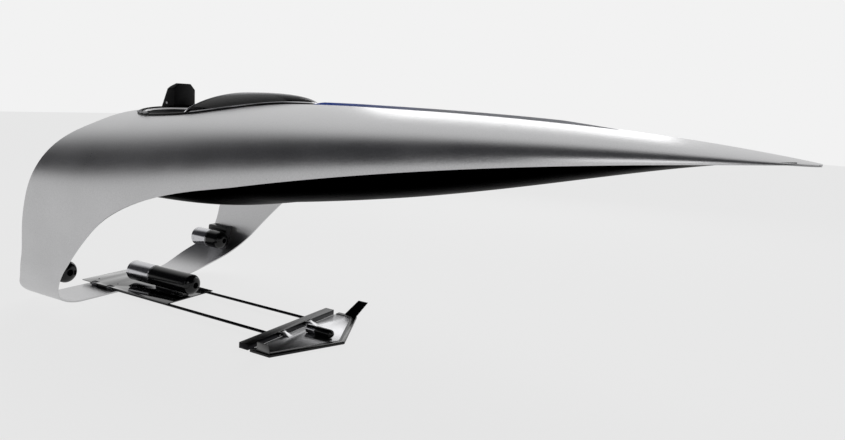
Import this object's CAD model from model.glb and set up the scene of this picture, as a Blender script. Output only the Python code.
"""One-seat electric water craft: finishes and fine shapes round its CAD frame, in metres."""
import math

import bmesh
import bpy
import numpy as np
from mathutils import Matrix, Vector


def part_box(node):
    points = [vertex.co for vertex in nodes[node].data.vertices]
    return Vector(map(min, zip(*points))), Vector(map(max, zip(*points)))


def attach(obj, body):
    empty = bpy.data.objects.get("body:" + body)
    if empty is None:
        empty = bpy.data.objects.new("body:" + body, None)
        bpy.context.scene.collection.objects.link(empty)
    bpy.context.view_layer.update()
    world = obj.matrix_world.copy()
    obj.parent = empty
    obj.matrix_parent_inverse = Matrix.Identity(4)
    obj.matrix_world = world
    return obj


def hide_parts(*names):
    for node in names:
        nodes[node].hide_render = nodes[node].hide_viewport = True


# The frame: every CAD node in its place, on the body that carries it.
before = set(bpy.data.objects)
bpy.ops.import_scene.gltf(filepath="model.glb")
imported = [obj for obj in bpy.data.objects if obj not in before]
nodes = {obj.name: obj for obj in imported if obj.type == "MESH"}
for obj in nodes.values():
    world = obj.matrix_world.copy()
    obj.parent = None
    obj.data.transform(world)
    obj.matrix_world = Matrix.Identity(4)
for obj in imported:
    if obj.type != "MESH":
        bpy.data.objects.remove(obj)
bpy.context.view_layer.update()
scene = bpy.context.scene
scene.view_settings.view_transform = "Standard"


# Studio. A pale floor and a pale wall, with two soft boxes. Above the floor, the half on the
# near side is unlit: it shows as a dark band along the shoulders, between pale deck and sides.
FLOOR_SIZE = 60.0
WALL_WHITE = "#f2f2f2"
UNLIT_GREY = "#39393c"
NEAR_SIDE = (0.3, -0.95, 0.0)
WALL_TOP = (0.04, 0.22)
NEAR_FADE = (-0.5, 0.0)
FLOOR_GLOW = 0.85


def colour(code):
    """Linear RGBA of an sRGB hex code."""
    parts = [int(code[i:i + 2], 16) / 255 for i in (1, 3, 5)]
    linear = [p / 12.92 if p <= 0.04045 else ((p + 0.055) / 1.055) ** 2.4 for p in parts]
    return (*linear, 1.0)


def add_node(tree, kind, inputs=None, **settings):
    """Adds a node to tree, with its settings, and its inputs as values or as links."""
    node = tree.nodes.new(kind)
    for name, value in settings.items():
        setattr(node, name, value)
    for name, value in (inputs or {}).items():
        if isinstance(value, bpy.types.NodeSocket):
            tree.links.new(value, node.inputs[name])
        else:
            node.inputs[name].default_value = value
    return node


world = bpy.data.worlds.new("studio")
world.use_nodes = True
scene.world = world
tree = world.node_tree
tree.nodes.clear()
toward = add_node(tree, "ShaderNodeTexCoord").outputs["Generated"]
up = add_node(tree, "ShaderNodeSeparateXYZ", {"Vector": toward}).outputs["Z"]
near = add_node(tree, "ShaderNodeVectorMath", {0: toward, 1: NEAR_SIDE},
                operation="DOT_PRODUCT").outputs["Value"]
above_wall = add_node(tree, "ShaderNodeMapRange", {
    "Value": up, "From Min": WALL_TOP[0], "From Max": WALL_TOP[1]},
    interpolation_type="SMOOTHSTEP")
unlit_half = add_node(tree, "ShaderNodeMapRange", {
    "Value": near, "From Min": NEAR_FADE[0], "From Max": NEAR_FADE[1]},
    interpolation_type="SMOOTHSTEP")
dark = add_node(tree, "ShaderNodeMath", {0: above_wall.outputs["Result"],
                                         1: unlit_half.outputs["Result"]}, operation="MULTIPLY")
straight = add_node(tree, "ShaderNodeLightPath").outputs["Is Camera Ray"]
dark = add_node(tree, "ShaderNodeMath", {0: dark.outputs["Value"], 1: straight},
                operation="SUBTRACT", use_clamp=True)
sky = add_node(tree, "ShaderNodeValToRGB", {"Fac": dark.outputs["Value"]})
sky.color_ramp.elements[0].color = colour(WALL_WHITE)
sky.color_ramp.elements[1].color = colour(UNLIT_GREY)
sky_colour = sky.outputs["Color"]
glow = add_node(tree, "ShaderNodeBackground", {"Color": sky_colour, "Strength": 1.0})
add_node(tree, "ShaderNodeOutputWorld", {"Surface": glow.outputs["Background"]})

floor_mesh = bpy.data.meshes.new("floor")
half = FLOOR_SIZE / 2
floor_mesh.from_pydata([(-half, -half, 0), (half, -half, 0), (half, half, 0), (-half, half, 0)],
                       [], [(0, 1, 2, 3)])
floor = bpy.data.objects.new("floor", floor_mesh)
scene.collection.objects.link(floor)
paint = bpy.data.materials.new("floor paint")
paint.use_nodes = True
tree = paint.node_tree
tree.nodes.clear()
lit = add_node(tree, "ShaderNodeBsdfDiffuse", {"Color": colour("#e8e8e8")})
pale = add_node(tree, "ShaderNodeEmission", {"Color": colour(WALL_WHITE), "Strength": 1.0})
ray = add_node(tree, "ShaderNodeLightPath")
seen = add_node(tree, "ShaderNodeMath", {0: ray.outputs["Is Camera Ray"],
                                         1: ray.outputs["Is Glossy Ray"]}, operation="ADD")
seen = add_node(tree, "ShaderNodeMath", {0: seen.outputs["Value"],
                                         1: ray.outputs["Is Transmission Ray"]},
                operation="ADD", use_clamp=True)
share = add_node(tree, "ShaderNodeMath", {0: seen.outputs["Value"], 1: FLOOR_GLOW},
                 operation="MULTIPLY")
mixed = add_node(tree, "ShaderNodeMixShader", {0: share.outputs["Value"],
                                               1: lit.outputs["BSDF"],
                                               2: pale.outputs["Emission"]})
add_node(tree, "ShaderNodeOutputMaterial", {"Surface": mixed.outputs["Shader"]})
floor_mesh.materials.append(paint)


def soft_box(name, place, target, width, height, watts):
    """Area lamp of width by height at place, turned to target."""
    data = bpy.data.lights.new(name, "AREA")
    data.shape = "RECTANGLE"
    data.size = width
    data.size_y = height
    data.energy = watts
    lamp = bpy.data.objects.new(name, data)
    lamp.location = place
    lamp.rotation_mode = "QUATERNION"
    lamp.rotation_quaternion = (Vector(target) - Vector(place)).to_track_quat("-Z", "Y")
    scene.collection.objects.link(lamp)


soft_box("key box", (7.5, -6.5, 4.2), (2.5, 0, 1.0), 5.0, 2.5, 80)
soft_box("far box", (0.5, 8.0, 4.0), (2.5, 0, 1.3), 6.0, 2.5, 90)

# Camera: ahead of the starboard beam, a little above the deck, with a slight roll.
CAMERA_PLACE = Vector((5.034, -3.744, 1.737))
CAMERA_YAW = -0.513
CAMERA_PITCH = -0.155
CAMERA_ROLL = 0.057
CAMERA_LENS, CAMERA_SENSOR = 28.5, 36
CAMERA_SHIFT = (0.015, -0.018)
forward = Vector((math.sin(CAMERA_YAW) * math.cos(CAMERA_PITCH),
                  math.cos(CAMERA_YAW) * math.cos(CAMERA_PITCH), math.sin(CAMERA_PITCH)))
level = forward.cross(Vector((0, 0, 1))).normalized()
upright = level.cross(forward)
right = level * math.cos(CAMERA_ROLL) + upright * math.sin(CAMERA_ROLL)
above = upright * math.cos(CAMERA_ROLL) - level * math.sin(CAMERA_ROLL)
camera_data = bpy.data.cameras.new("camera")
camera_data.lens = CAMERA_LENS
camera_data.sensor_width = CAMERA_SENSOR
camera_data.shift_x, camera_data.shift_y = CAMERA_SHIFT
camera = bpy.data.objects.new("camera", camera_data)
camera.matrix_world = Matrix.Translation(CAMERA_PLACE) @ Matrix(
    (right, above, -forward)).transposed().to_4x4()
scene.collection.objects.link(camera)
scene.camera = camera


# Hull skin: deck moulding, two legs and the crossing under them, one smooth skin of
# bead-blasted aluminium, bonded at its seams and rolled into the hoop at the stern.
SKIN = 0.012
HULL_LENGTH = 5.170
HALF_BEAM = 0.990
NOSE_FULLNESS = 0.340
NOSE_HEIGHT = 1.545
CROWN_HEIGHT = 1.676
CROWN_X = 2.600
STERN_CROWN_HEIGHT = 1.560
MOUTH_X = 0.660
SHOULDER_HEIGHT = 0.900
CHINE_REAR_X = 2.280
CHINE_REAR_HEIGHT = 1.185
CHINE_NOSE_SLOPE = 0.0431
BILGE_HEIGHT = 0.450
TUMBLEHOME = 0.024
BOTTOM_FLAT = 0.523
SEAM_HEIGHT = 1.100
REAR_EDGE = [(0.660, 1.560), (0.670, 1.500), (0.575, 1.393), (0.420, 1.150), (0.325, 0.910),
             (0.262, 0.690), (0.210, 0.450), (0.095, 0.265), (-0.065, 0.130),
             (-0.118, 0.040), (-0.118, -0.040)]
FRONT_EDGE = [(0.230, -0.040), (0.280, 0.025), (0.430, 0.150), (0.605, 0.310), (0.800, 0.515),
              (0.980, 0.690), (1.110, 0.800), (1.300, 0.915), (1.700, 1.065), (1.980, 1.130),
              (CHINE_REAR_X, CHINE_REAR_HEIGHT)]
COCKPIT_X = 1.395
COCKPIT_HALF_LENGTH = 0.600
COCKPIT_HALF_WIDTH = 0.575
COCKPIT_FRONT_POWER = 2.1
COCKPIT_REAR_POWER = 3.2
SECTION_POWER = 2.5
BLEND_POWER = 20
NOSE_SETBACK = 0.002
DECK_ONLY = 1.3
HALVINGS = 40


def half_breadth(x):
    """Half width of the hull at x."""
    opening = np.sqrt(NOSE_FULLNESS * np.maximum(HULL_LENGTH - x, 1e-9))
    return (opening ** -12.0 + HALF_BEAM ** -12.0) ** (-1 / 12)


def crown(x):
    """Height of the deck on the centre line at x."""
    ahead = np.clip((x - CROWN_X) / (HULL_LENGTH - CROWN_X), 0, 1)
    behind = np.maximum(CROWN_X - x, 0) / (CROWN_X - MOUTH_X)
    fall = CROWN_HEIGHT - STERN_CROWN_HEIGHT
    return CROWN_HEIGHT - (CROWN_HEIGHT - NOSE_HEIGHT) * ahead ** 2.8 - fall * behind ** 2


def chine(x):
    """Height of the side's lower edge at x."""
    run = HULL_LENGTH - x
    rear_run = HULL_LENGTH - CHINE_REAR_X
    fall = NOSE_HEIGHT - CHINE_NOSE_SLOPE * rear_run - CHINE_REAR_HEIGHT
    return NOSE_HEIGHT - CHINE_NOSE_SLOPE * run - fall * (run / rear_run) ** 2


def smooth_max(a, b, power):
    """The larger of a and b, rounded off where they meet."""
    return (a ** power + b ** power) ** (1 / power)


def shoulder_height(x):
    """Height at x under which the side stands upright."""
    return smooth_max(chine(x), SHOULDER_HEIGHT, BLEND_POWER)


def hull_side(x, z):
    """Half width of the hull and hoop at x and height z."""
    top, shoulder, width = crown(x), shoulder_height(x), half_breadth(x)
    turn = np.arccos(np.clip((z - shoulder) / (top - shoulder), 0, 1) ** (SECTION_POWER / 2))
    down = np.clip((z - shoulder) / (BILGE_HEIGHT - shoulder), 0, 1)
    lean = TUMBLEHOME * width / HALF_BEAM
    under = np.clip(1 - z / BILGE_HEIGHT, 0, 1) ** (1 / 1.1)
    flat = BOTTOM_FLAT * width / HALF_BEAM
    bilge = flat + (width - lean - flat) * np.sqrt(1 - under ** 2) ** 1.1
    side = np.where(z >= shoulder, width * np.sin(turn) ** (2 / SECTION_POWER),
                    width - lean * down ** 2)
    return np.where(z >= BILGE_HEIGHT, side, bilge)


def smooth_curve(points, per_span=30):
    """Points of the natural cubic spline through points, spaced by their chords."""
    points = np.array(points, float)
    chords = np.linalg.norm(np.diff(points, axis=0), axis=1)
    knots = np.concatenate([[0], np.cumsum(chords)])
    count = len(points)
    matrix = np.eye(count)
    bend = np.zeros_like(points)
    for i in range(1, count - 1):
        matrix[i, i - 1:i + 2] = chords[i - 1], 2 * (chords[i - 1] + chords[i]), chords[i]
        bend[i] = 6 * ((points[i + 1] - points[i]) / chords[i]
                       - (points[i] - points[i - 1]) / chords[i - 1])
    bend = np.linalg.solve(matrix, bend)
    t = np.unique(np.concatenate([np.linspace(a, b, per_span)
                                  for a, b in zip(knots, knots[1:])]))
    i = np.clip(np.searchsorted(knots, t, side="right") - 1, 0, count - 2)
    h = chords[i][:, None]
    a = ((knots[i + 1] - t) / chords[i])[:, None]
    b = 1 - a
    return (a * points[i] + b * points[i + 1]
            + ((a ** 3 - a) * bend[i] + (b ** 3 - b) * bend[i + 1]) * h ** 2 / 6)


rear_curve = smooth_curve(REAR_EDGE)[::-1]
front_curve = smooth_curve(FRONT_EDGE + [(x, float(chine(x))) for x in (2.6, 2.92, 3.24, 3.6)])


def rear_x(z):
    """Rear edge of the side at height z."""
    return np.interp(z, rear_curve[:, 1], rear_curve[:, 0])


def front_x(z):
    """Front edge of the hoop's leg at height z."""
    return np.interp(z, front_curve[:, 1], front_curve[:, 0])


def lower_edge(x):
    """Height of the side's edge at x, over the belly and over the hoop."""
    return np.where(x > CHINE_REAR_X, chine(x), np.interp(x, front_curve[:, 0], front_curve[:, 1]))


def deck_point(share, x, edge):
    """Height and angle on the deck at x, share of the way from the crown to the height edge."""
    top, shoulder = crown(x), shoulder_height(x)
    last = np.arccos(np.clip((edge - shoulder) / (top - shoulder), 0, 1) ** (SECTION_POWER / 2))
    turn = share * last
    return shoulder + (top - shoulder) * np.cos(turn) ** (2 / SECTION_POWER), turn


def cockpit_outline(x, offset):
    """Half width of the cockpit opening at x, grown by offset."""
    share = (x - COCKPIT_X) / (COCKPIT_HALF_LENGTH + offset)
    power = np.where(share > 0, COCKPIT_FRONT_POWER, COCKPIT_REAR_POWER)
    inner = np.clip(1 - np.abs(share) ** power, 0, 1)
    return (COCKPIT_HALF_WIDTH + offset) * inner ** (1 / power)


def deck_height(x, y):
    """Height of the deck at one point x, y."""
    x, y = np.float64(x), np.float64(y)
    share = np.clip(np.abs(y) / half_breadth(x), 0, 1)
    shoulder = shoulder_height(x)
    inner = (1 - share ** SECTION_POWER) ** (1 / SECTION_POWER)
    return float(shoulder + (crown(x) - shoulder) * inner)


def grid_faces(rows, columns, first=0, wrap=False):
    """Quads of a grid of rows by columns of vertices, numbered row by row from first."""
    faces = []
    for i in range(rows - 1):
        for j in range(columns if wrap else columns - 1):
            a, b = first + i * columns + j, first + i * columns + (j + 1) % columns
            faces.append((a, b, b + columns, a + columns))
    return faces


def ring_faces(rows, columns):
    """Quads of rows of wrapped columns whose last row meets the first, as round a tube."""
    last = (rows - 1) * columns
    return grid_faces(rows, columns, wrap=True) + [
        (last + i, last + (i + 1) % columns, (i + 1) % columns, i) for i in range(columns)]


def capped_faces(rows, columns):
    """Quads of rows of wrapped columns, closed by a face at each end."""
    count = rows * columns
    return grid_faces(rows, columns, wrap=True) + [
        tuple(range(columns)), tuple(range(count - columns, count))]


def new_piece(name, points, faces, material):
    """Mesh object at the origin from points and faces, with one material."""
    mesh = bpy.data.meshes.new(name)
    mesh.from_pydata([tuple(map(float, p)) for p in points], [], faces)
    mesh.validate()
    mesh.materials.append(material)
    piece = bpy.data.objects.new(name, mesh)
    scene.collection.objects.link(piece)
    return piece


def edit(piece, doubles=1e-5, outward=True):
    """Merges doubled vertices, drops empty faces and turns the faces outward."""
    work = bmesh.new()
    work.from_mesh(piece.data)
    bmesh.ops.remove_doubles(work, verts=work.verts, dist=doubles)
    bmesh.ops.dissolve_degenerate(work, edges=work.edges, dist=doubles)
    loose = [v for v in work.verts if not v.link_faces]
    bmesh.ops.delete(work, geom=loose, context="VERTS")
    if outward:
        bmesh.ops.recalc_face_normals(work, faces=work.faces)
    work.to_mesh(piece.data)
    work.free()


def bake(piece):
    """Turns the modifiers of piece into its plain mesh."""
    graph = bpy.context.evaluated_depsgraph_get()
    mesh = bpy.data.meshes.new_from_object(piece.evaluated_get(graph), depsgraph=graph)
    piece.modifiers.clear()
    piece.data = mesh


def settle(piece, body, replaced=(), crease=35):
    """Bakes piece, smooths all but its sharp edges, and fixes it to its body."""
    bake(piece)
    work = bmesh.new()
    work.from_mesh(piece.data)
    for edge in work.edges:
        edge.smooth = edge.calc_face_angle(0) < math.radians(crease)
    for face in work.faces:
        face.smooth = True
    work.to_mesh(piece.data)
    work.free()
    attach(piece, body)
    if replaced:
        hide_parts(*replaced)
    return piece


def surface(name, light, dark, grain, rough, spread=0.06, metal=0.0, relief=0.0004,
            stretch=(1, 1, 1), coat=0.0, cloud=0.35, contrast=1.0, shine=0.5):
    """Material between two colours, with a grain of that size in metres over broad clouds."""
    material = bpy.data.materials.new(name)
    material.use_nodes = True
    tree = material.node_tree
    shader = tree.nodes["Principled BSDF"]
    shader.inputs["Metallic"].default_value = metal
    shader.inputs["Specular IOR Level"].default_value = shine
    shader.inputs["Coat Weight"].default_value = coat
    shader.inputs["Coat Roughness"].default_value = 0.08
    place = add_node(tree, "ShaderNodeTexCoord").outputs["Object"]
    drawn = add_node(tree, "ShaderNodeMapping", {"Vector": place, "Scale": stretch})
    fine = add_node(tree, "ShaderNodeTexNoise", {
        "Vector": drawn.outputs["Vector"], "Scale": 1 / grain, "Detail": 4.0,
        "Roughness": 0.65}).outputs["Fac"]
    broad = add_node(tree, "ShaderNodeTexNoise", {
        "Vector": place, "Scale": 3.0, "Detail": 3.0}).outputs["Fac"]
    both = add_node(tree, "ShaderNodeMix", {"Factor": cloud, "A": fine, "B": broad}).outputs[0]
    spot = add_node(tree, "ShaderNodeMapRange", {
        "Value": both, "From Min": 0.5 - 0.2 / contrast, "From Max": 0.5 + 0.2 / contrast}
        ).outputs["Result"]
    ramp = add_node(tree, "ShaderNodeValToRGB", {"Fac": spot})
    ramp.color_ramp.elements[0].color = colour(dark)
    ramp.color_ramp.elements[1].color = colour(light)
    tree.links.new(ramp.outputs["Color"], shader.inputs["Base Color"])
    finish = add_node(tree, "ShaderNodeMapRange", {
        "Value": both, "From Min": 0.3, "From Max": 0.7, "To Min": rough - spread,
        "To Max": rough + spread}).outputs["Result"]
    tree.links.new(finish, shader.inputs["Roughness"])
    bump = add_node(tree, "ShaderNodeBump", {"Height": fine, "Strength": 0.5,
                                             "Distance": relief}).outputs["Normal"]
    tree.links.new(bump, shader.inputs["Normal"])
    return material


# Bead-blasted aluminium, clear-anodised: an even satin grey with a fine sparkle. The
# bead marks are about a millimetre wide, drawn at 9 mm so that they show.
hull_metal = surface("bead-blasted aluminium", "#d0d0d1", "#b9b9ba", 0.009, 0.34, 0.07,
                     metal=1.0, relief=0.0007)

DECK_ROWS, DECK_REAR_COLUMNS, DECK_FRONT_COLUMNS = 56, 64, 130
split = float(front_x(SEAM_HEIGHT))
shares = np.linspace(0, 1, DECK_ROWS + 1)
low, high = np.full(len(shares), SEAM_HEIGHT), np.full(len(shares), STERN_CROWN_HEIGHT)
for _ in range(HALVINGS):
    middle = (low + high) / 2
    over = deck_point(shares, rear_x(middle), SEAM_HEIGHT)[0] > middle
    low, high = np.where(over, middle, low), np.where(over, high, middle)
mouth_x = rear_x(low)
ahead = 1 - (1 - np.linspace(0, 1, DECK_FRONT_COLUMNS + 1)) ** 1.3
points = []
for share, start in zip(shares, mouth_x):
    x = np.concatenate([np.linspace(start, split, DECK_REAR_COLUMNS + 1),
                        split + (HULL_LENGTH - NOSE_SETBACK - split) * ahead[1:]])
    edge = np.where(x > split, lower_edge(x), SEAM_HEIGHT)
    z, turn = deck_point(share, x, edge)
    y = half_breadth(x) * np.sin(turn) ** (2 / SECTION_POWER)
    points += list(zip(x, y, z))
columns = DECK_REAR_COLUMNS + DECK_FRONT_COLUMNS + 1
faces = grid_faces(DECK_ROWS + 1, columns)

# Its legs and crossing: rows from the seam down the side, round the bilge, to the centre.
bilge = BILGE_HEIGHT * (1 - np.sin(np.linspace(0, math.pi / 2, 21)[1:]) ** 1.1)
heights = np.concatenate([np.linspace(SEAM_HEIGHT, BILGE_HEIGHT, 27), bilge])
along = np.linspace(0, 1, DECK_REAR_COLUMNS + 1)
first = len(points)
points += points[DECK_ROWS * columns:][:DECK_REAR_COLUMNS + 1]
for z in heights[1:]:
    x = rear_x(z) + (front_x(z) - rear_x(z)) * along
    points += [(a, b, z) for a, b in zip(x, hull_side(x, np.full(len(x), z)))]
for share in np.linspace(1, 0, 13)[1:]:
    x = rear_x(0) + (front_x(0) - rear_x(0)) * along
    points += [(a, b * share, 0) for a, b in zip(x, hull_side(x, np.zeros(len(x))))]
faces += grid_faces(len(heights) + 12, DECK_REAR_COLUMNS + 1, first)

# The opening: grid corners just inside its outline move onto it, and the rest is cut out.
points = np.array(points)
inside = np.abs(points[:, 1]) < cockpit_outline(points[:, 0], 0)
inside &= points[:, 2] > DECK_ONLY
grid = np.arange(first).reshape(DECK_ROWS + 1, columns)
mask = inside[:first].reshape(DECK_ROWS + 1, columns)
near = np.zeros_like(mask)
padded = np.pad(mask, 1, mode="reflect")
for i in (0, 1, 2):
    for j in (0, 1, 2):
        near |= ~padded[i:i + mask.shape[0], j:j + mask.shape[1]]
rim = grid[mask & near]
for i in rim:
    x, y = points[i, 0] - COCKPIT_X, points[i, 1]
    power = COCKPIT_FRONT_POWER if x > 0 else COCKPIT_REAR_POWER
    reach = abs(x / COCKPIT_HALF_LENGTH) ** power + (y / COCKPIT_HALF_WIDTH) ** power
    reach **= 1 / power
    x, y = COCKPIT_X + x / reach, y / reach
    points[i] = x, y, deck_height(x, y)
gone = set(np.flatnonzero(inside))
cut = gone - set(rim)
faces = [f for f in faces if not cut & set(f) and not set(f) <= gone]
hull = new_piece("hull_skin", points, faces, hull_metal)
edit(hull, outward=False)
work = bmesh.new()
work.from_mesh(hull.data)
work.faces.ensure_lookup_table()
crest = max(work.faces, key=lambda f: f.calc_center_median().z)
if crest.normal.z < 0:
    bmesh.ops.reverse_faces(work, faces=work.faces)
work.to_mesh(hull.data)
work.free()
mirror = hull.modifiers.new("both sides", "MIRROR")
mirror.use_axis = (False, True, False)
mirror.merge_threshold = 0.0005
wall = hull.modifiers.new("skin", "SOLIDIFY")
wall.thickness = SKIN
wall.offset = -1
settle(hull, "craft",
       ("deck_shell", "port_leg", "starboard_leg", "hoop_crossing"))


# Belly: one satin black moulded panel between the hull's lower edges, bowed down.
BELLY_REAR_X, BELLY_END_X, BELLY_DEEP_X = 0.400, 5.060, 2.900
BELLY_DEPTH, BELLY_STERN_DEPTH, BELLY_STERN_EDGE = 0.196, 0.168, 1.095
BELLY_TUCK = 0.0128
BELLY_SKIN = 0.010
BELLY_FADE_X, BELLY_LAP = 4.8, (0.010, 0.003)
BELLY_STERN_RUN = 0.7
BELLY_ROWS, BELLY_COLUMNS = 111, 49


def belly_edge(x):
    """Height of the panel's edge at x: a little above the chine, level in the hoop."""
    lap = np.interp(x, [BELLY_FADE_X, BELLY_END_X], BELLY_LAP)
    return smooth_max(chine(x) + lap, BELLY_STERN_EDGE, 2 * BLEND_POWER)


def belly_depth(x):
    """Depth of the panel under its edge at x, on the centre line."""
    fore = np.clip((x - BELLY_DEEP_X) / (BELLY_END_X - 0.01 - BELLY_DEEP_X), 0, 1)
    aft = np.clip((BELLY_DEEP_X - x) / BELLY_STERN_RUN, 0, 1)
    ahead = BELLY_DEPTH * (1 - fore ** 2) ** 1.6
    return np.where(x > BELLY_DEEP_X, ahead,
                    BELLY_DEPTH + (BELLY_STERN_DEPTH - BELLY_DEPTH) * aft ** 2)


belly_black = surface("black moulded polymer", "#0c0c0d", "#070708", 0.02, 0.34, 0.05,
                      relief=0.0001, metal=1.0, cloud=0.8)
shader = belly_black.node_tree.nodes["Principled BSDF"]
shader.inputs["Specular Tint"].default_value = colour("#101012")
points = []
fore = 1 - (1 - np.linspace(0, 1, BELLY_ROWS)) ** 1.4
for x in BELLY_REAR_X + (BELLY_END_X - BELLY_REAR_X) * fore:
    side = hull_side(np.array([x]), np.array([belly_edge(x)]))[0]
    width = half_breadth(x) if x > CHINE_REAR_X else side
    y = (width - BELLY_TUCK) * np.sin(np.linspace(-math.pi / 2, math.pi / 2, BELLY_COLUMNS))
    slope = np.sqrt(np.clip(1 - (y / width) ** 2, 0, 1))
    points += [(x, a, b) for a, b in zip(y, belly_edge(x) - belly_depth(x) * slope ** 1.4)]
belly = new_piece("belly_panel", points, grid_faces(BELLY_ROWS, BELLY_COLUMNS), belly_black)
edit(belly, outward=False)
if belly.data.polygons[0].normal.z > 0:
    belly.data.flip_normals()
wall = belly.modifiers.new("panel", "SOLIDIFY")
wall.thickness = BELLY_SKIN
wall.offset = -1
settle(belly, "craft", ("hull_bottom",))


def dressed(node, material, body, round_off=0.0015, flat=1.0, segments=2, crease=35):
    """Copy of a CAD node with its edges rounded off, in that material, standing for it."""
    mesh = nodes[node].data.copy()
    mesh.name = node + "_made"
    mesh.materials.clear()
    mesh.materials.append(material)
    piece = bpy.data.objects.new(node + "_made", mesh)
    scene.collection.objects.link(piece)
    work = bmesh.new()
    work.from_mesh(mesh)
    bmesh.ops.remove_doubles(work, verts=work.verts, dist=2e-5)
    bmesh.ops.dissolve_limit(work, angle_limit=math.radians(flat), verts=work.verts,
                             edges=work.edges)
    work.to_mesh(mesh)
    work.free()
    if round_off:
        edge = piece.modifiers.new("rounded edges", "BEVEL")
        edge.width = round_off
        edge.segments = segments
        edge.limit_method = "ANGLE"
        edge.angle_limit = math.radians(42)
    return settle(piece, body, (node,), crease)


# Lips: the bevelled band inside the deck's rear edge and the strip along the belly's.
lip_metal = surface("satin aluminium", "#c4c4c6", "#b0b0b2", 0.006, 0.3, 0.05, metal=1.0,
                    relief=0.0003)
dressed("upper_lip", lip_metal, "craft", 0.006, segments=3)
dressed("lower_lip", lip_metal, "craft", 0.001)

# Coaming: a soft black moulded rubber rim clipped round the opening, with a groove.
rubber = surface("moulded rubber", "#121214", "#0a0a0b", 0.004, 0.5, 0.1, relief=0.0003,
                 shine=0.2)
RIM_SECTION = [(0.0005, -0.010), (0.0005, 0.008), (0.003, 0.0115), (0.008, 0.0125),
               (0.0105, 0.0105), (0.0125, 0.0105), (0.015, 0.0125), (0.020, 0.011),
               (0.0235, 0.007), (0.024, 0.0008), (0.012, -0.001)]
RIM_STEPS = 240


def outline_point(turn, offset):
    """Point of the opening's outline, grown by offset, at the angle turn."""
    c, s = math.cos(turn), math.sin(turn)
    power = 2 / (COCKPIT_FRONT_POWER if c > 0 else COCKPIT_REAR_POWER)
    x = COCKPIT_X + math.copysign((COCKPIT_HALF_LENGTH + offset) * abs(c) ** power, c)
    return x, math.copysign((COCKPIT_HALF_WIDTH + offset) * abs(s) ** power, s)


points = []
for offset, height in RIM_SECTION:
    for i in range(RIM_STEPS):
        x, y = outline_point(2 * math.pi * i / RIM_STEPS, offset)
        points.append((x, y, deck_height(x, y) + height))
rim = new_piece("coaming_rim", points, ring_faces(len(RIM_SECTION), RIM_STEPS), rubber)
edit(rim)
settle(rim, "craft", ("coaming",), 60)

# Latches: small bead-blasted steel catches along the rear of the coaming.
clip_steel = surface("bead-blasted steel", "#9a9a9c", "#7c7c7e", 0.003, 0.35, metal=1.0)
dressed("coaming_latches", clip_steel, "craft", 0.003, segments=3)

# Windscreen: a low wrap-round bubble of smoke-tinted polycarbonate, blown and trimmed, in a
# thin bright edge strip.
WINDSCREEN_REAR_X, WINDSCREEN_SWEEP, WINDSCREEN_RISE = 1.600, 0.110, 0.072
WINDSCREEN_FRONT_X = COCKPIT_X + COCKPIT_HALF_LENGTH + 0.0125
WINDSCREEN_FOOT = 0.018     # how far the bubble stands outside the opening
WINDSCREEN_BASE = 0.012
REAR_ARC_X, REAR_ARC_REACH, REAR_ARC_HALF_WIDTH = 1.336, 0.264, 0.71875
WINDSCREEN_ROWS = 33
GLASS = 0.005


def clear_finish(name, settings, noise, unevenness):
    """See-through material with those shader inputs and a faint unevenness."""
    material = bpy.data.materials.new(name)
    material.use_nodes = True
    tree = material.node_tree
    shader = tree.nodes["Principled BSDF"]
    for key, value in settings.items():
        shader.inputs[key].default_value = value
    place = add_node(tree, "ShaderNodeTexCoord").outputs["Object"]
    haze = add_node(tree, "ShaderNodeTexNoise", {"Vector": place, **noise}).outputs["Fac"]
    bump = add_node(tree, "ShaderNodeBump", {"Height": haze, **unevenness})
    tree.links.new(bump.outputs["Normal"], shader.inputs["Normal"])
    return material


tint = clear_finish("smoke-tinted polycarbonate", {
    "Base Color": colour("#0d0e11"), "Roughness": 0.04, "IOR": 1.25, "Metallic": 0.7,
    "Specular Tint": colour("#5a5a60"), "Alpha": 0.85},
    {"Scale": 9.0, "Detail": 3.0}, {"Strength": 0.15, "Distance": 0.002})


def screen_point(x, turn, inset=0.0):
    """Point of the bubble at x and the angle turn from its crown."""
    start = WINDSCREEN_REAR_X - WINDSCREEN_SWEEP
    share = min(max((x - start) / (WINDSCREEN_FRONT_X - start), 0), 1)
    rise = WINDSCREEN_BASE + WINDSCREEN_RISE * (1 - share ** 3) ** 0.5 - inset
    y = (float(cockpit_outline(np.float64(x), WINDSCREEN_FOOT)) - inset) * math.sin(turn)
    return x, y, deck_height(x, y) + rise * max(math.cos(turn), 0) ** 0.9


def screen_rear(turn):
    """Rear edge of the bubble at the angle turn."""
    x = WINDSCREEN_REAR_X
    for _ in range(12):
        y = float(cockpit_outline(np.float64(x), WINDSCREEN_FOOT)) * math.sin(turn)
        x = REAR_ARC_X + REAR_ARC_REACH * math.sqrt(max(1 - (y / REAR_ARC_HALF_WIDTH) ** 2, 0))
    return x


turns = np.linspace(-math.pi / 2, math.pi / 2, 61)
points = []
for share in 1 - (1 - np.linspace(0, 1, WINDSCREEN_ROWS)) ** 1.8:
    for turn in turns:
        x = screen_rear(turn)
        points.append(screen_point(x + (WINDSCREEN_FRONT_X - x) * share, turn))
faces = grid_faces(WINDSCREEN_ROWS, len(turns))
bubble = new_piece("windscreen_bubble", points, faces, tint)
edit(bubble, outward=False)
if bubble.data.polygons[len(bubble.data.polygons) // 2].normal.z < 0:
    bubble.data.flip_normals()
wall = bubble.modifiers.new("glass", "SOLIDIFY")
wall.thickness = GLASS
wall.offset = -1
settle(bubble, "craft", ("windscreen",))


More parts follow.
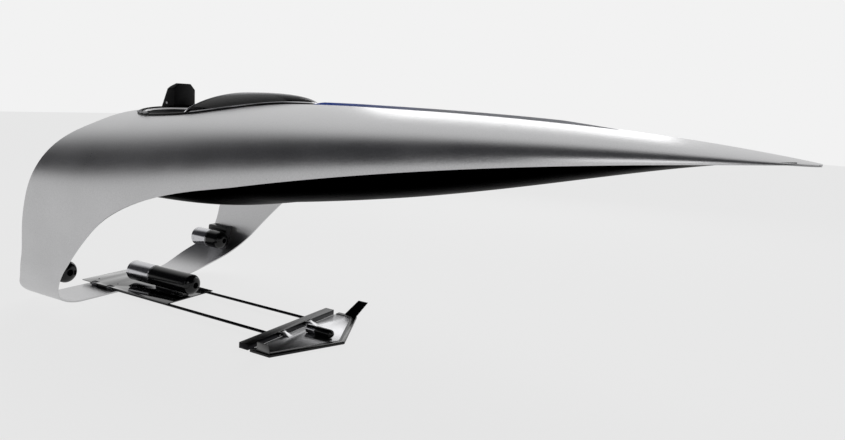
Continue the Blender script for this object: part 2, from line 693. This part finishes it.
def swept(name, path, radius, material, sides=10):
    """Round bead of that radius along path, closed at its ends."""
    points = []
    path = [Vector(p) for p in path]
    for i, p in enumerate(path):
        way = (path[min(i + 1, len(path) - 1)] - path[max(i - 1, 0)]).normalized()
        side = way.cross(Vector((0, 0, 1))).normalized()
        lift = side.cross(way)
        for j in range(sides):
            a = 2 * math.pi * j / sides
            points.append(p + (side * math.cos(a) + lift * math.sin(a)) * radius)
    piece = new_piece(name, points, capped_faces(len(path), sides), material)
    edit(piece)
    return piece


edge_steel = surface("polished stainless strip", "#d8d8da", "#c6c6c8", 0.01, 0.14, 0.04,
                     metal=1.0, relief=0.0001)
path = [screen_point(screen_rear(t) - 0.001, t, 0.0025) for t in turns[1:-1]]
settle(swept("windscreen_edge", path, 0.0042, edge_steel), "craft")
path = [outline_point(t, 0.021) for t in np.linspace(-1.35, 1.35, 90)]
path = [(x, y, deck_height(x, y) + 0.0135) for x, y in path]
settle(swept("windscreen_foot", path, 0.0035, edge_steel), "craft")

# Ridge: an enamelled aluminium strip along the foredeck, blue at the cockpit and silver ahead.
RIDGE_REAR_X, RIDGE_FRONT_X = 2.115, 4.200
RIDGE_HALF_WIDTH, RIDGE_HEIGHT, RIDGE_SUNK = 0.016, 0.0175, 0.002
RIDGE_ROWS, RIDGE_SIDES = 90, 16
RIDGE_FADE = (2.25, 3.1)
enamel = surface("blue and silver enamel", "#ffffff", "#ffffff", 0.006, 0.4, 0.05,
                 relief=0.0002, coat=0.2)
tree = enamel.node_tree
shader = tree.nodes["Principled BSDF"]
along = add_node(tree, "ShaderNodeSeparateXYZ", {
    "Vector": add_node(tree, "ShaderNodeTexCoord").outputs["Object"]}).outputs["X"]
fade = add_node(tree, "ShaderNodeMapRange", {
    "Value": along, "From Min": RIDGE_FADE[0], "From Max": RIDGE_FADE[1]})
ramp = add_node(tree, "ShaderNodeValToRGB", {"Fac": fade.outputs["Result"]})
ramp.color_ramp.elements[0].color = colour("#4a6fe0")
ramp.color_ramp.elements[1].color = colour("#d2d4da")
tree.links.new(ramp.outputs["Color"], shader.inputs["Base Color"])
points = []
for share in np.linspace(0, 1, RIDGE_ROWS):
    x = RIDGE_REAR_X + (RIDGE_FRONT_X - RIDGE_REAR_X) * share
    width = RIDGE_HALF_WIDTH * np.interp(share, [0, 0.05, 0.3, 1], [0.35, 0.62, 1, 0.1])
    height = RIDGE_HEIGHT * np.interp(share, [0, 0.04, 0.85, 1], [0.25, 1, 0.9, 0.1])
    for a in np.linspace(0, 2 * math.pi, RIDGE_SIDES + 1)[:-1]:
        y = width * math.cos(a)
        lift = height * math.sin(a) ** 0.7 if math.sin(a) > 0 else -RIDGE_SUNK
        points.append((x, y, deck_height(x, y) + lift))
ridge = new_piece("ridge_strip", points, capped_faces(RIDGE_ROWS, RIDGE_SIDES), enamel)
edit(ridge)
settle(ridge, "craft", ("deck_ridge",), 50)

# Headrest: a faceted block of grained black polymer that stands behind the opening.
headrest_black = surface("grained black polymer", "#101012", "#080809", 0.003, 0.36, 0.08,
                         relief=0.0004, shine=0.1)
dressed("headrest", headrest_black, "craft", 0.007, segments=3)
dressed("headrest_bolts", clip_steel, "craft", 0.0012)

# Cockpit well, bulkhead and dashboard: matt moulded polymer, thermoformed and bonded.
tub_black = surface("thermoformed polymer", "#101014", "#08080c", 0.004, 0.55, 0.1,
                    relief=0.0004)
dressed("cockpit_tub", tub_black, "craft", 0)
dressed("tunnel_bulkhead", surface("painted aluminium panel", "#1b1b1e", "#121215", 0.01, 0.42),
        "craft", 0)
dash_grey = surface("soft-touch polymer", "#37373c", "#29292d", 0.003, 0.5, 0.08, relief=0.0003)
dressed("dashboard", dash_grey, "craft", 0.003, segments=3)
dressed("gauge_bezels", edge_steel, "craft", 0.0012)
dressed("stop_button", surface("gloss red polymer", "#7c1512", "#6a100e", 0.01, 0.25),
        "button", 0.002, segments=3)
glass_clear = clear_finish("clear mineral glass", {
    "Base Color": colour("#dfe4ea"), "Roughness": 0.03, "Alpha": 0.22},
    {"Scale": 60.0}, {"Strength": 0.05})
dressed("gauge_lenses", glass_clear, "craft", 0)

# Repeats: marks, blades, bolts and ribs are one shape set out by a small node tree, turned
# and moved by the same step from one copy to the next.
repeat = bpy.data.node_groups.new("set out in steps", "GeometryNodeTree")
repeat.is_modifier = True
sockets = {}
for name, kind in (("Geometry", "NodeSocketGeometry"), ("Count", "NodeSocketInt"),
                   ("Step", "NodeSocketVector"), ("Turn", "NodeSocketVector"),
                   ("Finish", "NodeSocketMaterial")):
    sockets[name] = repeat.interface.new_socket(name, in_out="INPUT", socket_type=kind).identifier
repeat.interface.new_socket("Geometry", in_out="OUTPUT", socket_type="NodeSocketGeometry")
given = repeat.nodes.new("NodeGroupInput").outputs
index = add_node(repeat, "GeometryNodeInputIndex").outputs[0]
step = add_node(repeat, "ShaderNodeVectorMath", {0: given["Step"]}, operation="SCALE")
repeat.links.new(index, step.inputs["Scale"])
turn = add_node(repeat, "ShaderNodeVectorMath", {0: given["Turn"]}, operation="SCALE")
repeat.links.new(index, turn.inputs["Scale"])
spots = add_node(repeat, "GeometryNodePoints", {"Count": given["Count"],
                                                "Position": step.outputs["Vector"]})
set_out = add_node(repeat, "GeometryNodeInstanceOnPoints", {
    "Points": spots.outputs[0], "Instance": given["Geometry"]})
repeat.links.new(turn.outputs["Vector"], set_out.inputs["Rotation"])
real = add_node(repeat, "GeometryNodeRealizeInstances", {"Geometry": set_out.outputs[0]})
finished = add_node(repeat, "GeometryNodeSetMaterial", {"Geometry": real.outputs[0],
                                                        "Material": given["Finish"]})
out = repeat.nodes.new("NodeGroupOutput")
repeat.links.new(finished.outputs[0], out.inputs[0])


def repeated(name, points, faces, material, count, step=(0, 0, 0), turn=(0, 0, 0), place=None):
    """Piece of count copies of one shape, each a step and a turn on from the last."""
    piece = new_piece(name, points, faces, material)
    edit(piece)
    layout = piece.modifiers.new("set out", "NODES")
    layout.node_group = repeat
    for key, value in (("Count", count), ("Step", step), ("Turn", turn), ("Finish", material)):
        layout[sockets[key]] = value
    bake(piece)
    if place is not None:
        piece.data.transform(place)
    return piece


def block(x, y, z, dx, dy, dz):
    """Corners and faces of a box centred on x, y, z."""
    points = [(x + i * dx / 2, y + j * dy / 2, z + k * dz / 2)
              for i in (-1, 1) for j in (-1, 1) for k in (-1, 1)]
    return points, [(0, 1, 3, 2), (4, 6, 7, 5), (0, 4, 5, 1), (2, 3, 7, 6), (0, 2, 6, 4),
                    (1, 5, 7, 3)]


# Gauge dials: printed marks and a needle on a black face, under each lens.
DIAL_X, DIAL_HEIGHT, DIAL_DEPTH = 1.715, 1.5695, 0.0038
MARK_COUNT, MARK_STEP, MARK_RADIUS = 13, 22.5, 0.0175
MARK_SIZE = (0.0006, 0.0013, 0.0045)
NEEDLE_SIZE, NEEDLE_MIDDLE, NEEDLE_LIFT = (0.001, 0.0016, 0.017), 0.006, 0.0007
dial_white = surface("printed white ink", "#e6e6e6", "#d8d8d8", 0.002, 0.5)
dash_up = Vector((0.090, 0, 0.085)).normalized()
dash_out = Vector((-dash_up.z, 0, dash_up.x))
for number, across in (("1", 0.250), ("2", 0.316)):
    middle = Vector((DIAL_X, across, DIAL_HEIGHT)) - dash_out * DIAL_DEPTH
    place = Matrix.Translation(middle) @ Matrix(
        (dash_out, Vector((0, 1, 0)), dash_up)).transposed().to_4x4()
    marks = repeated("dial_marks_" + number, *block(0, 0, MARK_RADIUS, *MARK_SIZE),
                     dial_white, MARK_COUNT, turn=(math.radians(MARK_STEP), 0, 0),
                     place=place @ Matrix.Rotation(math.radians(-135), 4, "X"))
    settle(marks, "craft")
    needle = new_piece("dial_needle_" + number, *block(0, 0, NEEDLE_MIDDLE, *NEEDLE_SIZE),
                       dial_white)
    needle.data.transform(place @ Matrix.Rotation(math.radians(-60 + 70 * int(number)), 4, "X")
                          @ Matrix.Translation((NEEDLE_LIFT, 0, 0)))
    settle(needle, "craft")

# Steering: black anodised column and yoke, ribbed rubber grips, and the throttle lever.
anodised = surface("black anodised aluminium", "#1e1e21", "#151517", 0.003, 0.3, metal=1.0)
dressed("steering_column", anodised, "craft", 0.002)
dressed("steering_yoke", anodised, "yoke", 0.002)
dressed("hand_grips", rubber, "yoke", 0.003)
dressed("throttle_trigger", anodised, "throttle", 0.0025)
GRIP_RADIUS, GRIP_CORE, GRIP_RIBS, GRIP_PITCH, GRIP_SIDES = 0.0152, 0.0140, 14, 0.0075, 32
GRIP_X, GRIP_Y, GRIP_LOW_Z = 1.505, 0.176, 1.351
RIB_SECTION = [(GRIP_CORE, -0.002), (GRIP_RADIUS, -0.001), (GRIP_RADIUS, 0.001),
               (GRIP_CORE, 0.002)]
ring = []
for radius, height in RIB_SECTION:
    ring += [(radius * math.cos(a), radius * math.sin(a), height)
             for a in np.linspace(0, 2 * math.pi, GRIP_SIDES + 1)[:-1]]
faces = ring_faces(len(RIB_SECTION), GRIP_SIDES)
for side, name in ((1, "port"), (-1, "starboard")):
    ribs = repeated(f"grip_ribs_{name}", ring, faces, rubber, GRIP_RIBS, step=(0, 0, GRIP_PITCH),
                    place=Matrix.Translation((GRIP_X, side * GRIP_Y, GRIP_LOW_Z)))
    settle(ribs, "yoke")

# Power: battery cases, motor controllers and hull frames, boxed and painted, out of sight.
case_grey = surface("powder-coated case", "#4a4b4e", "#3c3d40", 0.004, 0.55, metal=0.2)
for node in ("port_battery", "starboard_battery", "motor_controllers"):
    dressed(node, case_grey, "craft", 0.004)
dressed("hull_ribs", surface("mill-finish aluminium", "#8d8f92", "#7c7e81", 0.006, 0.45, metal=1.0),
        "craft", 0)

# Sled: a gloss-lacquered steel plate on its chock across the hoop, with split bearings in
# which the two rails slide.
plate_black = surface("gloss black lacquer", "#0c0c0d", "#060607", 0.03, 0.09, 0.03,
                      relief=0.0001, coat=0.8)
bearing_metal = surface("machined steel", "#6e6e71", "#58585b", 0.004, 0.3, metal=1.0)
dressed("sled_plate", plate_black, "craft", 0.0015)
dressed("sled_chock", plate_black, "craft", 0.004, segments=3)
dressed("centre_pylon", plate_black, "craft", 0.006, segments=3)
dressed("sled_bolts", clip_steel, "craft", 0.0008)
dressed("rail_bearings", bearing_metal, "craft", 0.0015)
for node in ("port_rail", "starboard_rail"):
    dressed(node, anodised, "carriage", 0.0004)
dressed("trailing_beam", anodised, "carriage", 0.003, segments=3)
dressed("foil_pivot_pins", clip_steel, "carriage", 0.0008)

# Thrusters: a spun duct of satin-chromed aluminium over the spigot of a black moulded
# nacelle, and a cast rotor of seven pitched blades on the motor's shaft.
duct_chrome = surface("satin chrome", "#cfcfd2", "#b9b9bd", 0.008, 0.17, 0.06, metal=1.0,
                      relief=0.0002, stretch=(0.2, 1, 1))
nacelle_black = surface("gloss black moulding", "#0d0d0f", "#070708", 0.01, 0.16, 0.05,
                        relief=0.0001, shine=0.3)
rotor_metal = surface("polished cast aluminium", "#c2c2c6", "#a4a4a8", 0.006, 0.22, 0.08,
                      metal=1.0, relief=0.0003)
motor_grey = surface("cast motor case", "#45464a", "#37383b", 0.004, 0.5, metal=0.6)
DUCT_RADIUS, DUCT_WALL, DUCT_LAP, NACELLE_STEP = 0.084, 0.007, 0.025, 0.002
NOSE_LENGTH, INLET_RADIUS = 0.055, 0.024
INLET_LIP = 0.002
HUB_RADIUS, HUB_LENGTH, HUB_BEVEL, HUB_SIDES = 0.017, 0.046, 0.002, 40
BLADE_COUNT, BLADE_CHORD, BLADE_ROWS, BLADE_SIDES = 7, 0.046, 9, 16
BLADE_ROOT_PITCH, BLADE_UNTWIST, BLADE_CAMBER = 56, 30, 0.003
BLADE_ROOT_THICKNESS, BLADE_THINNING = 0.0048, 0.0026
ROTOR_INSET, TIP_RADIUS, SHAFT_RADIUS = 0.022, 0.074, 0.008
NACELLE_WALL, SHAFT_SETBACK = 0.010, 0.022
BEAD_INSET, BEAD_SIZE, BEAD_SUNK = 0.030, 0.0016, 0.0011
BAND_REAR, BAND_FRONT, BAND_SUNK, BAND_PROUD = 0.006, 0.009, 0.0004, 0.0006
VANE_COUNT, VANE_SETBACK, VANE_MIDDLE, VANE_SIZE = 5, 0.028, 0.0425, (0.045, 0.0022, 0.0675)


def turned(name, section, y, z, material, sides=72):
    """Closed body turned about an axis along X through y, z, from its closed section."""
    points = []
    for x, radius in section:
        points += [(x, y + radius * math.cos(a), z + radius * math.sin(a))
                   for a in np.linspace(0, 2 * math.pi, sides + 1)[:-1]]
    piece = new_piece(name, points, ring_faces(len(section), sides), material)
    edit(piece)
    return piece


def arc(x, radius, size, start, end, steps=7):
    """Points of an arc of that size round x, radius, between two angles in degrees."""
    return [(x + size * math.cos(math.radians(a)), radius + size * math.sin(math.radians(a)))
            for a in np.linspace(start, end, steps)]


def blade(root, tip):
    """One twisted blade with a rounded section, along +Z about the X axis."""
    points = []
    for share in np.linspace(0, 1, BLADE_ROWS):
        radius = root + (tip - root) * share
        pitch = math.radians(BLADE_ROOT_PITCH - BLADE_UNTWIST * share)
        chord = BLADE_CHORD * (0.8 + 0.45 * math.sin(math.pi * min(share + 0.1, 1)))
        thick = BLADE_ROOT_THICKNESS - BLADE_THINNING * share
        for a in np.linspace(0, 2 * math.pi, BLADE_SIDES + 1)[:-1]:
            u = chord / 2 * math.cos(a)
            v = thick / 2 * math.sin(a) + BLADE_CAMBER * math.sin(a / 2)
            x = u * math.cos(pitch) - v * math.sin(pitch)
            y = u * math.sin(pitch) + v * math.cos(pitch)
            bend = y / radius
            points.append((x, radius * math.sin(bend), radius * math.cos(bend)))
    return points, capped_faces(BLADE_ROWS, BLADE_SIDES)


for name, body, spinner in (("centre", "craft", "centre_propeller"),
                            ("port", "port_pod", "port_propeller"),
                            ("starboard", "starboard_pod", "starboard_propeller")):
    low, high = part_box(name + "_duct")
    rear, split_x = low.x, high.x
    y, z = (low.y + high.y) / 2, (low.z + high.z) / 2
    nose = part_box(name + "_nacelle")[1].x
    bore, outer, body_radius = DUCT_RADIUS - DUCT_WALL, DUCT_RADIUS, DUCT_RADIUS - NACELLE_STEP
    section = [(split_x - 0.0008, bore)]
    section += arc(rear + DUCT_WALL / 2, bore + DUCT_WALL / 2, DUCT_WALL / 2, 270, 90, 11)
    section += [(split_x - 0.0008, outer - 0.0002), (split_x, outer - 0.001),
                (split_x, bore + 0.001)]
    duct = turned(name + "_duct_spun", section, y, z, duct_chrome)
    settle(duct, body, (name + "_duct",))
    section = arc(rear + BEAD_INSET, outer - BEAD_SUNK, BEAD_SIZE, 0, 360, 9)[:-1]
    bead = turned(name + "_duct_bead", section, y, z, edge_steel)
    settle(bead, body)
    inner = body_radius - NACELLE_WALL
    start = nose - NOSE_LENGTH
    section = [(split_x - DUCT_LAP, bore - 0.0002), (split_x - 0.0001, bore - 0.0002),
               (split_x + 0.0001, body_radius - 0.0012), (split_x + 0.0016, body_radius)]
    section += [(x, body_radius) for x in np.linspace(split_x + 0.01, start, 6)]
    for a in np.linspace(0, math.acos((INLET_RADIUS + INLET_LIP) / body_radius), 14)[1:]:
        section.append((start + NOSE_LENGTH * math.sin(a), body_radius * math.cos(a)))
    end = section[-1][0]
    section += [(end - 0.0005, INLET_RADIUS + 0.0006), (end - 0.003, INLET_RADIUS),
                (start, INLET_RADIUS), (start, inner), (split_x - DUCT_LAP, inner)]
    shell = turned(name + "_nacelle_moulded", section, y, z, nacelle_black)
    settle(shell, body, (name + "_nacelle",))
    section = [(split_x + BAND_REAR, body_radius - BAND_SUNK),
               (split_x + BAND_REAR, body_radius + BAND_PROUD),
               (split_x + BAND_FRONT, body_radius + BAND_PROUD),
               (split_x + BAND_FRONT, body_radius - BAND_SUNK)]
    band = turned(name + "_joint_band", section, y, z, edge_steel)
    settle(band, body)
    vane = block(split_x - DUCT_LAP - VANE_SETBACK, 0, VANE_MIDDLE, *VANE_SIZE)
    vanes = repeated(name + "_stator_vanes", *vane, nacelle_black, VANE_COUNT,
                     turn=(math.radians(360 / VANE_COUNT), 0, 0),
                     place=Matrix.Translation((0, y, z)))
    settle(vanes, body)
    hub_x = rear + ROTOR_INSET
    tail = start - NACELLE_WALL - SHAFT_SETBACK
    section = [(hub_x - HUB_RADIUS * math.sin(a), HUB_RADIUS * math.cos(a))
               for a in np.linspace(math.pi / 2 - 0.02, 0, 9)]
    section += [(hub_x + HUB_LENGTH - HUB_BEVEL, HUB_RADIUS),
                (hub_x + HUB_LENGTH, HUB_RADIUS - HUB_BEVEL),
                (hub_x + HUB_LENGTH, SHAFT_RADIUS), (tail, SHAFT_RADIUS), (tail, 0.0004)]
    hub = turned(name + "_hub", section, y, z, rotor_metal, HUB_SIDES)
    blades = repeated(name + "_blades", *blade(HUB_RADIUS * 0.8, TIP_RADIUS), rotor_metal,
                      BLADE_COUNT, turn=(2 * math.pi / BLADE_COUNT, 0, 0),
                      place=Matrix.Translation((hub_x + HUB_LENGTH / 2, y, z)))
    settle(hub, spinner, (name + "_rotor",))
    settle(blades, spinner, (name + "_rotor",))
    dressed(name + "_motor", motor_grey, body, 0)
bracket_black = surface("satin black paint", "#141416", "#0c0c0e", 0.006, 0.3)
for side in ("port", "starboard"):
    dressed(side + "_bracket", bracket_black, "craft", 0.008, segments=3)
    dressed(side + "_pivot", clip_steel, side + "_pod", 0.001)

# Foil: a satin aluminium panel in a moulded black rim with canted winglets, and a pod on
# top.
foil_metal = surface("satin anodised aluminium", "#b4b4b6", "#9c9c9e", 0.006, 0.3, 0.06,
                     metal=1.0, relief=0.0004)
foil_black = surface("gloss black composite", "#0e0e10", "#08080a", 0.008, 0.2, 0.05,
                     relief=0.0002, shine=0.3)
dressed("foil_panel", foil_metal, "foil", 0.002)
dressed("foil_rim", foil_black, "foil", 0.005, segments=3)
dressed("foil_winglets", foil_black, "foil", 0.003, segments=3)
dressed("foil_pod", foil_black, "foil", 0.001)
dressed("foil_pod_cap", duct_chrome, "foil", 0.004, segments=3)

# Seat: a cushion and a backrest of foam in black leather, with sewn channels, on the well's
# floor and its sloping wall.
leather = surface("black leather", "#17171a", "#0c0c0e", 0.004, 0.48, 0.1, relief=0.0008)
tree = leather.node_tree
cells = add_node(tree, "ShaderNodeTexVoronoi", {
    "Vector": add_node(tree, "ShaderNodeTexCoord").outputs["Object"], "Scale": 420.0})
bump = add_node(tree, "ShaderNodeBump", {"Height": cells.outputs["Distance"], "Strength": 0.4,
                                         "Distance": 0.0006})
tree.links.new(bump.outputs["Normal"], tree.nodes["Principled BSDF"].inputs["Normal"])
CUSHION_VOXEL, CUSHION_SWELL, COVER_INSET = 0.010, 0.012, 0.002
CHANNEL_PITCH, CHANNEL_DEPTH, CHANNEL_WIDTH = 0.072, 0.006, 0.007
CLOTH_PRESSURE, CLOTH_FRAMES = 4.0, 15
FACING = (0.6, 0, 0.8)
for node, fill in (("seat_cushion", 0.7), ("seat_backrest", 0.65)):
    mesh = nodes[node].data.copy()
    mesh.materials.clear()
    mesh.materials.append(leather)
    pad = bpy.data.objects.new(node + "_padded", mesh)
    scene.collection.objects.link(pad)
    edit(pad, 2e-5)
    remesh = pad.modifiers.new("even mesh", "REMESH")
    remesh.mode = "VOXEL"
    remesh.voxel_size = CUSHION_VOXEL
    bake(pad)
    rest = np.array([v.co for v in pad.data.vertices])
    cloth = pad.modifiers.new("cover", "CLOTH")
    cloth.settings.use_pressure = True
    cloth.settings.uniform_pressure_force = CLOTH_PRESSURE
    cloth.settings.effector_weights.gravity = 0.0
    for number in range(1, CLOTH_FRAMES + 1):
        scene.frame_set(number)
    bake(pad)
    scene.frame_set(1)
    moved = np.array([v.co for v in pad.data.vertices])
    shift = moved - rest
    length = np.linalg.norm(shift, axis=1, keepdims=True)
    shift *= np.minimum(1, CUSHION_SWELL / np.maximum(length, 1e-9))
    # The covers meet the well where the solids do, and swell only inside their space.
    placed = np.clip(rest + shift, rest.min(0), rest.max(0))
    off_channel = (placed[:, 1] + CHANNEL_PITCH / 2) % CHANNEL_PITCH - CHANNEL_PITCH / 2
    groove = np.exp(-(off_channel / CHANNEL_WIDTH) ** 2)
    normals = np.array([v.normal for v in pad.data.vertices])
    face_up = np.clip(normals[:, 0] * FACING[0] + normals[:, 2] * FACING[2], 0, 1)
    placed -= normals * (CHANNEL_DEPTH * groove * face_up)[:, None]
    placed -= normals * COVER_INSET
    pad.data.vertices.foreach_set("co", placed.astype(np.float32).ravel())
    pad.data.update()
    pad.modifiers.new("smooth cover", "SUBSURF").levels = 1
    pad.modifiers[-1].render_levels = 1
    settle(pad, "craft", (node,), 80)
